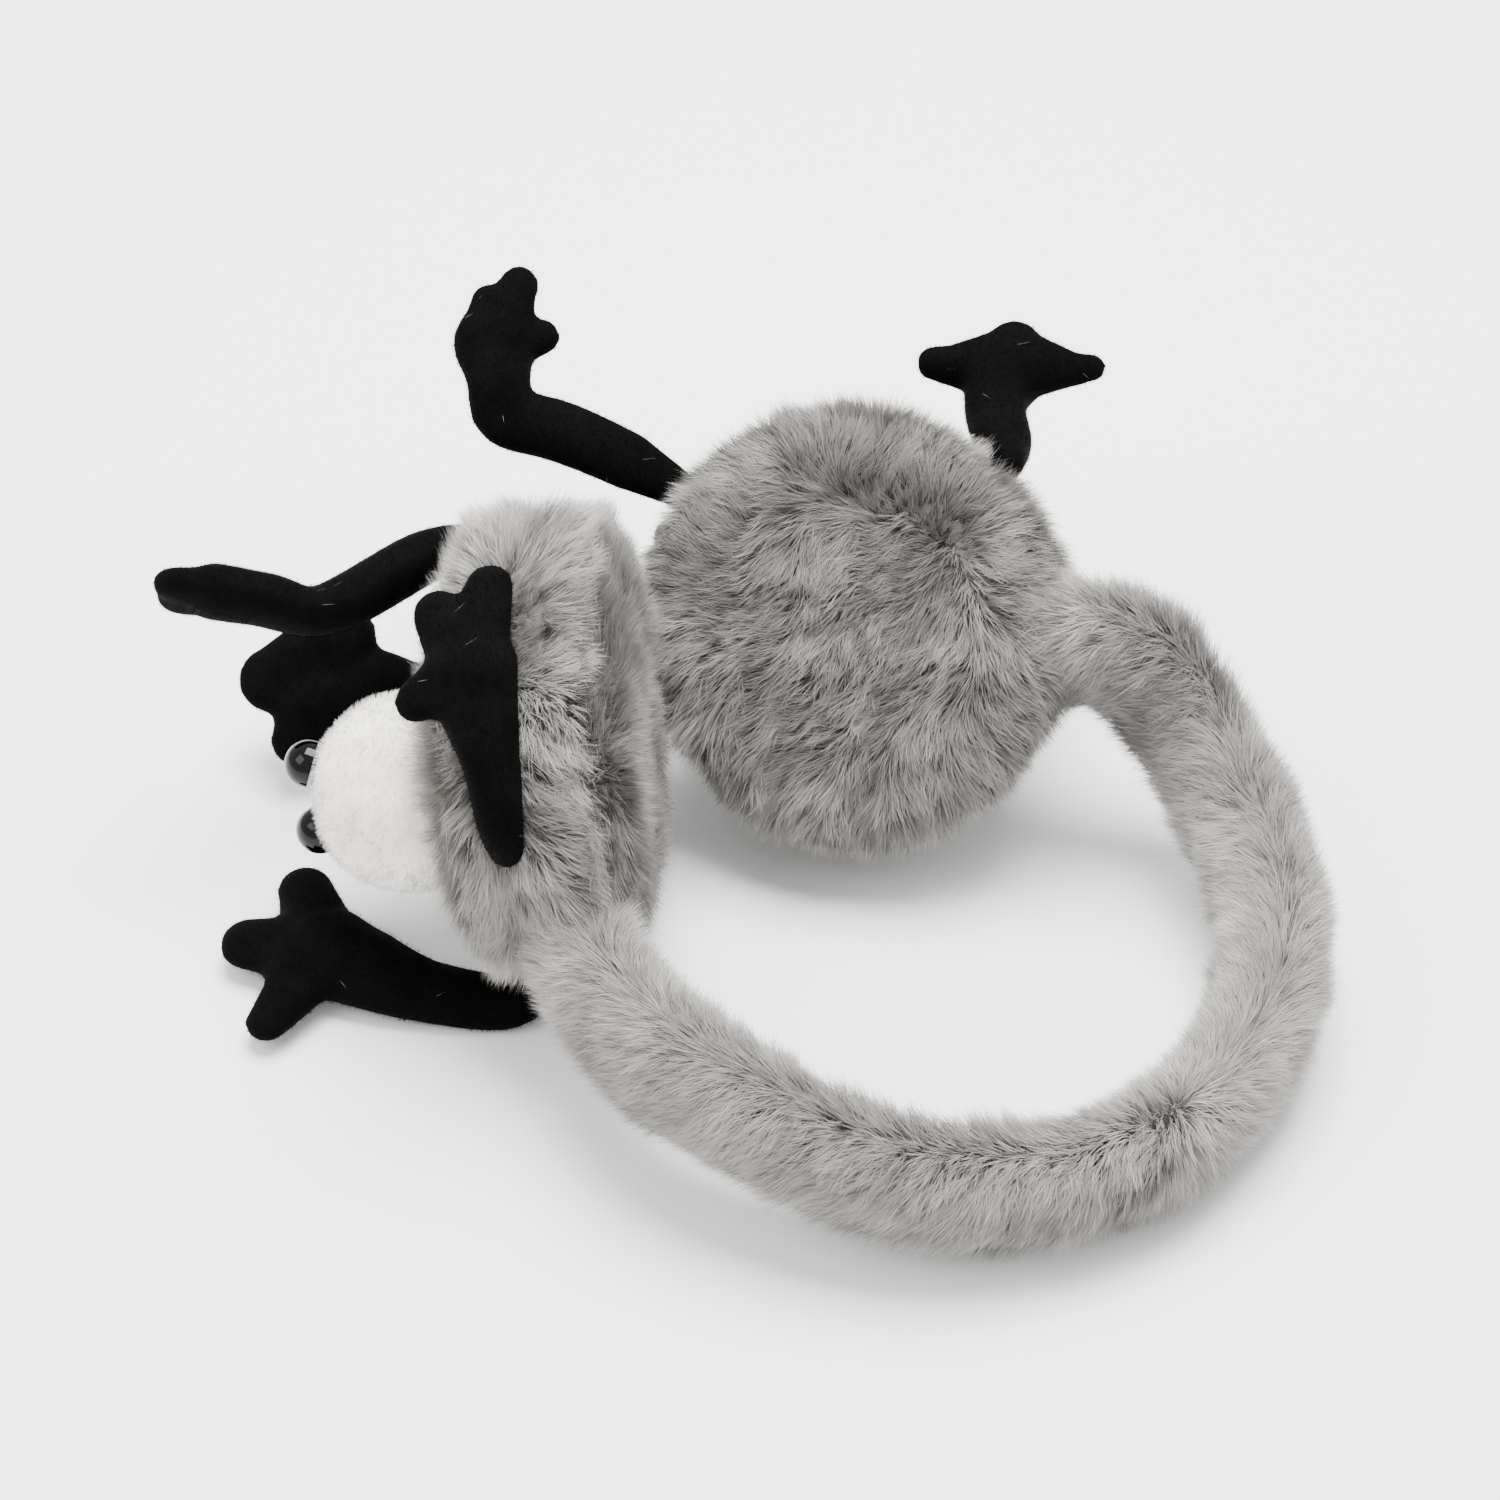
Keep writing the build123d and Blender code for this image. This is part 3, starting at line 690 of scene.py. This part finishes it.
# places and radii of the round fillings that the velboa is drawn over
def limbBalls(name, limb):
    place = places[name.split("_")[0]]
    line = np.array([place.polar(*p[:3]) for p in limb["line"]])
    radii = np.array([p[3] * mm for p in limb["line"]])
    balls = []
    for k in range(len(line) - 1):
        before, after = line[max(k - 1, 0)], line[min(k + 2, len(line) - 1)]
        a, b = line[k], line[k + 1]
        count = max(int(np.linalg.norm(b - a) / limbShape["step"]), 1)
        t = np.linspace(0, 1, count, endpoint=False)
        curve = hermite(a, b, (b - before) / 2, (after - a) / 2, t)
        balls += list(zip(curve, radii[k] + (radii[k + 1] - radii[k]) * t))
    palm = line[-1]
    balls.append((palm, radii[-1]))
    tips = [place.polar(*f[:3]) for f in limb["fingers"]]
    back = [max(f[3] - limbShape["tipRound"], 0) * mm for f in limb["fingers"]]
    tips = [tip - unit(tip - palm) * short for tip, short in zip(tips, back)]
    ends = [(tip, finger[3] * mm, 1) for tip, finger in zip(tips, limb["fingers"])]
    web = limb.get("web", limbShape["web"])  # how far the skin between two fingers reaches
    for (tip, size, _), (other, otherSize, _) in zip(ends[:], ends[1:]):
        for share in limbShape["webShares"]:
            between = tip * (1 - share) + other * share
            ends.append((between, size * (1 - share) + otherSize * share, web))
    for tip, size, reach in ends:
        for t in np.linspace(0, reach, limbShape["tipSteps"])[1:]:
            balls.append((palm + (tip - palm) * t, radii[-1] * limbShape["wrist"] * (1 - t) + size * t))
    spread = [tip - palm for tip in tips]
    face = unit(np.cross(spread[0], spread[-1]))
    return balls, face


def makeLimb(name, limb):
    balls, face = limbBalls(name, limb)
    lay = Vector(face).to_track_quat("Z", "Y").to_matrix().to_4x4()
    work = bmesh.new()
    for at, radius in balls:
        squeeze = Matrix.Diagonal((radius, radius, radius * limbShape["flat"], 1))
        put = Matrix.Translation(at) @ lay @ squeeze
        bmesh.ops.create_icosphere(work, subdivisions=2, radius=1, matrix=put)
    mesh = bpy.data.meshes.new(name + "_velboa")
    work.to_mesh(mesh)
    work.free()
    thing = bpy.data.objects.new(name + "_velboa", mesh)
    bpy.context.collection.objects.link(thing)
    remesh = thing.modifiers.new("skin", "REMESH")
    remesh.mode = "VOXEL"
    remesh.voxel_size = limbShape["voxel"]
    applyModifier(thing, "skin")
    relax = thing.modifiers.new("relax", "SMOOTH")
    relax.factor = limbShape["relax"]
    relax.iterations = limbShape["relaxTimes"]
    applyModifier(thing, "relax")
    co = np.array([v.co for v in thing.data.vertices])
    co[:, 2] = np.maximum(co[:, 2], limbShape["floor"])
    thing.data.vertices.foreach_set("co", co.ravel())
    thing.data.polygons.foreach_set("use_smooth", np.ones(len(thing.data.polygons), bool))
    thing.data.materials.append(velboa)
    thing.data.update()
    return thing


for index, (name, limb) in enumerate(limbs.items()):
    thing = makeLimb(name, limb)
    # any way will do that isn't the normal's own
    nap = growPile(
        name + "_nap", thing, fuzz, blackFuzz, 900 + index, lambda p, n: unit(n + 0.4)[:, [1, 2, 0]])
    dust = growPile(
        name + "_lint", thing, lint, greyFur, 930 + index, lambda p, n: n[:, [2, 0, 1]] + 0.3)
    for piece in (thing, nap, dust):
        attach(piece, name)
    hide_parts(name)
print("limbs done")


head = {
    "forward": 9, "out": 31, "radius": 24.5 * mm, "segments": 64, "rings": 40,
    "lump": 0.35 * mm, "lumpSize": 24 * mm,
    # the seam round the face
    "crease": 0.7 * mm, "creaseAt": 9, "creaseWidth": 1.6, "creaseWay": (0.9, -0.1),
}
headPile = dict(fuzz, strands=20000, length=2.3 * mm, width=0.16 * mm, lift=40, patch=14 * mm)
speck = dict(lint, strands=40, length=1.3 * mm, width=0.2 * mm, lift=60)
for index, (side, place) in enumerate(places.items()):
    centre = place.world([head["forward"] * mm, 0, -head["out"] * mm])
    bpy.ops.mesh.primitive_uv_sphere_add(
        segments=head["segments"], ring_count=head["rings"], radius=head["radius"], location=tuple(centre))
    ball = bpy.context.object
    ball.name = side + "_head_plush"
    selectOnly(ball)
    bpy.ops.object.transform_apply(location=True, rotation=True, scale=True)
    co = np.array([v.co for v in ball.data.vertices])
    away = co - centre
    faceWay = unit(place.x * head["creaseWay"][0] + place.z * head["creaseWay"][1])
    ahead = away @ faceWay / mm
    groove = np.exp(-((ahead - head["creaseAt"]) / head["creaseWidth"]) ** 2) * head["crease"]
    co -= unit(away) * (groove + head["lump"] * waves(co, head["lumpSize"], 40 + index))[:, None]
    ball.data.vertices.foreach_set("co", co.ravel())
    bpy.ops.object.shade_smooth()
    ball.data.materials.append(plush)
    fluff = growPile(
        side + "_head_fluff", ball, headPile, whiteFuzz, 950 + index,
        lambda p, n: unit(n[:, [2, 0, 1]] + 0.2))
    specks = growPile(
        side + "_head_specks", ball, speck, blackFuzz, 970 + index, lambda p, n: n[:, [2, 0, 1]] + 0.3)
    for piece in (ball, fluff, specks):
        attach(piece, side + "_pad")
    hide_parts(side + "_head_cover", side + "_head_filling")
print("heads done")


studio = {"floor": 6, "paper": "#f4f4f4", "paperRoughness": 0.9, "sky": "#ffffff", "skyStrength": 1.5}
bpy.ops.mesh.primitive_plane_add(size=studio["floor"])
floor = bpy.context.object
floor.name = "floor"
# uncoated white paper: matt, so that it shows only soft shadows
floorMaterial, tree, shader = newMaterial("white paper")
shader.inputs["Base Color"].default_value = hexColour(studio["paper"])
shader.inputs["Roughness"].default_value = studio["paperRoughness"]
floor.data.materials.append(floorMaterial)

world = bpy.data.worlds.new("studio")
bpy.context.scene.world = world
world.use_nodes = True
background = world.node_tree.nodes["Background"]
background.inputs["Color"].default_value = hexColour(studio["sky"])
background.inputs["Strength"].default_value = studio["skyStrength"]

target = np.array([-95.6, 87.5, 58.6]) * mm
lights = {
    "overhead": {"at": (0.0, 0.35, 1.4), "size": 0.9, "power": 75},
    "left": {"at": (-0.9, -0.3, 0.9), "size": 0.7, "power": 8},
}
for name, light in lights.items():
    data = bpy.data.lights.new(name, "AREA")
    data.size = light["size"]
    data.energy = light["power"]
    lamp = bpy.data.objects.new(name, data)
    bpy.context.collection.objects.link(lamp)
    lamp.location = light["at"]
    lamp.rotation_euler = (Vector(target) - Vector(light["at"])).to_track_quat("-Z", "Y").to_euler()

view = {"elevation": 43, "distance": 1.0, "lens": 97.8}
cameraData = bpy.data.cameras.new("camera")
cameraData.lens = view["lens"]
camera = bpy.data.objects.new("camera", cameraData)
bpy.context.collection.objects.link(camera)
tilt = math.radians(view["elevation"])
camera.location = Vector(target) + Vector((0, -math.cos(tilt), math.sin(tilt))) * view["distance"]
camera.rotation_euler = (math.radians(90) - tilt, 0, 0)
bpy.context.scene.camera = camera

print("studio done")
